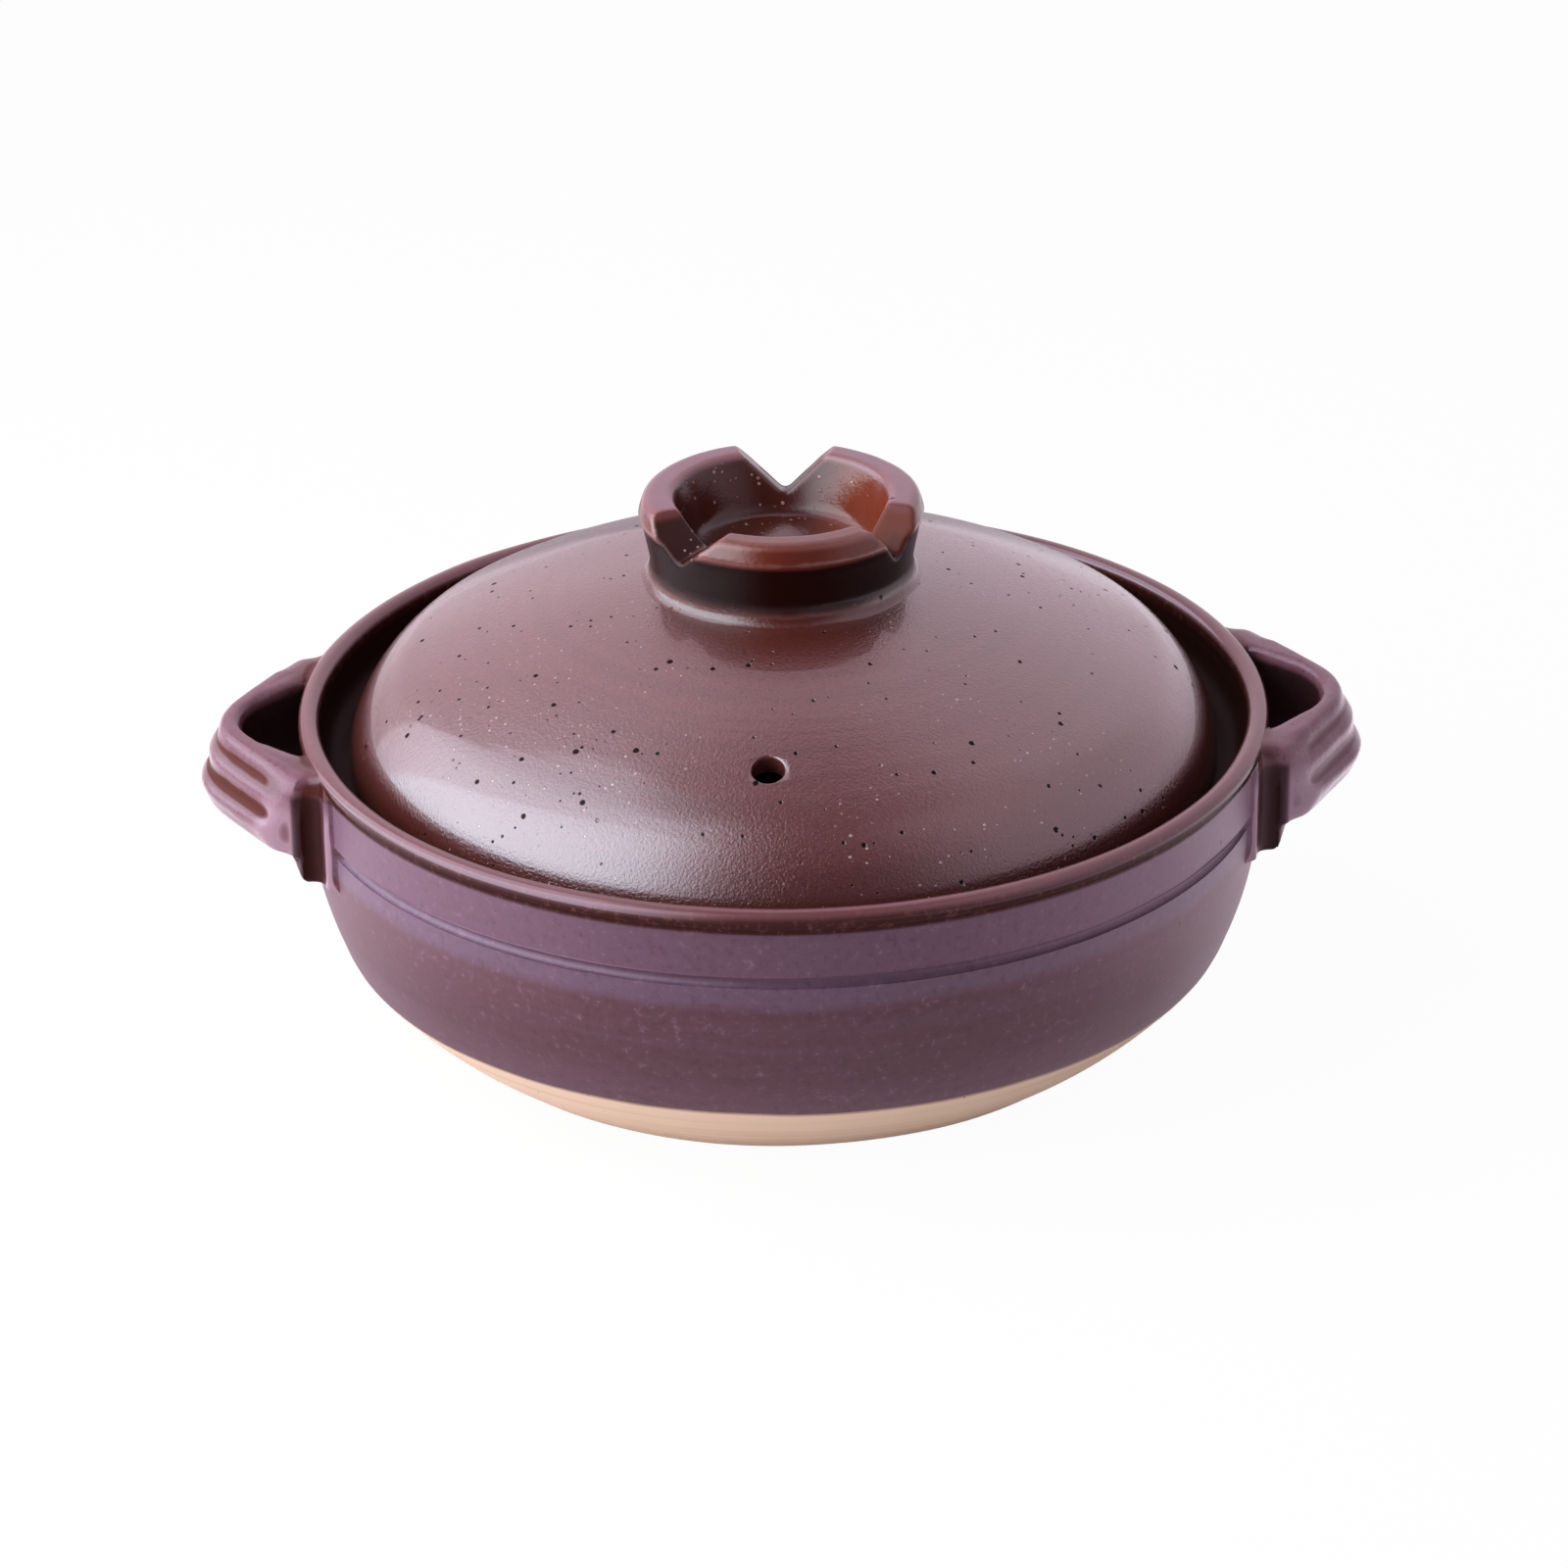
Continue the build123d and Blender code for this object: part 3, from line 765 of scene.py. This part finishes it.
def handle_glaze():
    """Mauve glaze that runs thin over edges and gathers brown in the hollows, with painted sheen and ridge
    highlights, and painted shade in the thumb marks and finger holes.
    """
    material, shader, place = fired("handle_glaze", IOR=1.35, Specular_Tint=mauve)
    edge = place.add("Attribute", output=2, attribute_name="edge")
    patches = place.clouds(60, 3, 0.55)
    mottle = place.clouds(520, 3, 0.7)
    grit = place.clouds(1800, 2, 0.6)
    glaze = place.add("RGB")
    glaze = glaze.paint(1.0, tint(92, 54, 62))
    glaze = glaze.paint(patches.rise(0.4, 0.7) * 0.6, tint(98, 64, 78))
    # Painted sheen: the right handle is painted lighter mauve, and its hollows less brown, for the light
    # falling from the right.
    right = place.add("SeparateXYZ", {0: place}, output=0).rise(0, 0.01)
    glaze = glaze.paint(right * 0.5, tint(122, 86, 102))
    sunk = (1 - edge.rise(0.25, 0.55)) * (1 - right * 0.6)
    glaze = glaze.paint(sunk, tint(76, 34, 24))
    # Raised edges painted lighter mauve: thin glaze, and painted sheen.
    glaze = glaze.paint(edge.rise(0.6, 0.9) * 0.8, tint(114, 78, 92))
    glaze = glaze.paint((1 - mottle.rise(0.3, 0.5)) * 0.4, tint(60, 32, 36))
    pits = place.dots(0.009, 0.0006, 0.3)
    glaze = glaze.paint(pits, tint(26, 14, 14))
    sheen = 0.3 + (mottle - 0.5) * 0.12 - edge.rise(0.6, 0.9) * 0.08
    relief = mottle * 0.00010 + grit * 0.00003 - pits * 0.0004
    colour, sheen, relief = worn_in(place, (glaze, sheen, relief), wall_glaze(place))
    both = place.add("VectorMath", {0: place}, operation="ABSOLUTE")
    away_x = both.add("SeparateXYZ", {0: both}, output=0)
    away_y = both.add("SeparateXYZ", {0: both}, output=1)
    up = both.add("SeparateXYZ", {0: both}, output=2)
    # Painted highlight: pale mauve along the ridge beside each thumb mark.
    ridge_highlight = edge.rise(0.45, 0.7) * (1 - up.rise(ridge_top, ridge_top + 0.006))
    ridge_highlight = ridge_highlight * away_y.rise(ridge_side, ridge_side + 0.006)
    colour = colour.paint(ridge_highlight * 0.9, tint(150, 120, 136))
    # Painted shade: the thumb marks are painted near black.
    thumb = {0: both.stretch(1, 1, 0), 1: thumb_shade_centre}
    across = both.add("VectorMath", thumb, output=1, operation="DISTANCE")
    groove_shade = (1 - across.rise(0.0034, 0.0046)) * (1 - up.rise(hole_top - 0.0045, hole_top - 0.002))
    # Painted shade: the sides of each finger hole are painted near black.
    hollow = 1 - (away_x + away_y).rise(hole_corner - 0.002, hole_corner - 0.0005)
    hollow = hollow * (1 - away_x.rise(hole_end - 0.002, hole_end - 0.0006))
    hollow = hollow * (1 - away_y.rise(hole_half_width - 0.0025, hole_half_width - 0.0005))
    hollow = hollow * (1 - up.rise(hole_top - 0.002, hole_top))
    colour = colour.paint(groove_shade * 0.85, tint(42, 18, 13))
    colour = colour.paint(hollow * 0.9, tint(30, 16, 15))
    dull = (sunk * 0.75).maths("MAXIMUM", hollow * 0.6).maths("MAXIMUM", groove_shade * 0.5)
    finish_material(shader, colour, sheen, relief, dull)
    return material


glazed = handle_glaze()
for side, hole_squeeze in (("left", 0.91), ("right", 0.98)):
    lug = copy_of("handle_" + side, "lug_" + side)
    select_where(lug, "vertices", in_hole)
    bpy.ops.transform.resize(value=(1, hole_squeeze, 1), center_override=(0, 0, 0))
    select_where(lug, "vertices", lambda vertex: vertex.co.z < foot_top)
    bpy.ops.transform.translate(value=(0, 0, -foot_drop))
    lug = luted(
        lug, "handle_" + side, "pot_body", pot, voxel=0.0006, wipe=9, join_reach=0.0045, join_work=20
    )
    work_sides(lug)
    uneven(lug, "pressed_" + side, size=0.012, depth=0.0003)
    mark_edges(lug, rounds=45, depth=0.0002)
    lug.data.materials.append(glazed)
    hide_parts("handle_" + side)
    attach(lug, "pot")


# Knob. A turned ring luted to the dome while leather hard, its wall then cut with a wire into
# three petals. The glaze pools round its foot and thins to brown on the cut edges.
flare_top = 0.1252
flare_reach = 0.0355
drawn_in = 0.965
neck_foot, neck_top = 0.1245, 0.1385
neck_reach = 0.031
bowl_reach = 0.0285
petal_top = 0.1435


def in_flare(vertex):
    return vertex.co.z < flare_top and vertex.co.xy.length > flare_reach


knob = copy_of("lid_knob", "knob")
select_where(knob, "vertices", in_flare)
bpy.ops.transform.resize(value=(drawn_in, drawn_in, 1), center_override=(0, 0, 0))
knob = luted(knob, "lid_knob", "lid_dome", lid, voxel=0.0006, wipe=6, join_reach=0.005, join_work=40)
ring_surface = surface_of("lid_knob")
across_ring = []
for vertex in knob.data.vertices:
    along = Vector((-vertex.co.y, vertex.co.x, 0)).normalized()
    turned_to = abs(ring_surface.find_nearest(vertex.co)[1].dot(along))
    across_ring.append(min(1, max(0, (turned_to - 0.25) / 0.25)))
keep(knob, "cut", across_ring)
uneven(knob, "wiped_ring", size=0.014, depth=0.0003)
mark_edges(knob, rounds=30, depth=0.0004)

material, shader, place = fired("knob_glaze", IOR=1.43, Coat_Roughness=0.06)
edge = place.add("Attribute", output=2, attribute_name="edge")
ring = place.stretch(1, 1, 0)
reach = ring.add("VectorMath", {0: ring}, output=1, operation="LENGTH")
toward_right = place.add("SeparateXYZ", {0: place}, output=0)
toward_back = place.add("SeparateXYZ", {0: place}, output=1)
up = place.add("SeparateXYZ", {0: place}, output=2)
cut = place.add("Attribute", output=2, attribute_name="cut") * (1 - toward_back.rise(0.002, 0.01))
patches = place.clouds(70, 3, 0.55)
mottle = place.clouds(520, 3, 0.7)
grit = place.clouds(1800, 2, 0.6)
bowl = (1 - reach.rise(bowl_reach, bowl_reach + 0.002)) * (1 - up.rise(petal_top, petal_top + 0.0013))
below_lip = 1 - (up + (patches - 0.5) * 0.001).rise(neck_top, neck_top + 0.0015)
neck = reach.rise(neck_reach, neck_reach + 0.002) * below_lip * up.rise(neck_foot, neck_foot + 0.0017)
glaze = place.add("RGB")
glaze = glaze.paint(1.0, tint(94, 38, 26))
glaze = glaze.paint(patches.rise(0.4, 0.7) * 0.6, tint(78, 36, 34))
# The back petals' tops are painted mauve: thin glaze, and painted sheen where they mirror the pale room.
petal_top_sheen = up.rise(petal_top - 0.0005, petal_top + 0.0013) * toward_back.rise(-0.026, -0.014)
glaze = glaze.paint(petal_top_sheen * 0.9, tint(118, 80, 94))
glaze = glaze.paint(1 - edge.rise(0.1, 0.45), tint(50, 20, 16))
glaze = glaze.paint(edge.rise(0.7, 0.95) * 0.6, tint(132, 84, 80))
glaze = glaze.paint(bowl * 0.7, tint(58, 28, 25))
rust = bowl * toward_right.rise(0.004, 0.02) * (1 - toward_back.rise(0.018, 0.026))
glaze = glaze.paint(rust * 0.8, tint(112, 48, 30))
# Painted shade: the neck under the overhanging lip is painted near black.
glaze = glaze.paint(neck, tint(30, 10, 7))
glaze = glaze.paint(cut * 0.7, tint(84, 34, 22))
rough_cut = cut * (1 - toward_right.rise(0, 0.004)) * (1 - up.rise(petal_top - 0.0003, petal_top + 0.0011))
glaze = glaze.paint(rough_cut * 0.9, tint(34, 15, 12))
specks = place.dots(0.0020, 0.0006, 0.4) * (bowl * patches.rise(0.4, 0.55) + rough_cut).rise(0, 1)
glaze = glaze.paint(specks * 0.7, tint(190, 150, 140))
pits = place.dots(0.006, 0.0007, 0.35)
colour = glaze.paint(pits, tint(22, 12, 12))
sheen = 0.16 + (mottle - 0.5) * 0.1 + cut * 0.25 + pits * 0.4
relief = mottle * 0.00008 + grit * 0.00003 - pits * 0.0004 + specks * 0.0002
dull = (neck * 0.6).maths("MAXIMUM", cut * 0.6).maths("MAXIMUM", bowl * 0.25)
carrier = place.add("Attribute", output=2, attribute_name="carrier")
dome_pitted = dome_pits(place)
dull = dull * (1 - carrier) + carrier * dome_pitted * 0.9
coat = carrier * (1 - dome_pitted) * 0.5
finish_material(shader, *worn_in(place, (colour, sheen, relief), dome_glaze(place)), dull, coat)
knob.data.materials.append(material)
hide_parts("lid_knob")
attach(knob, "lid")
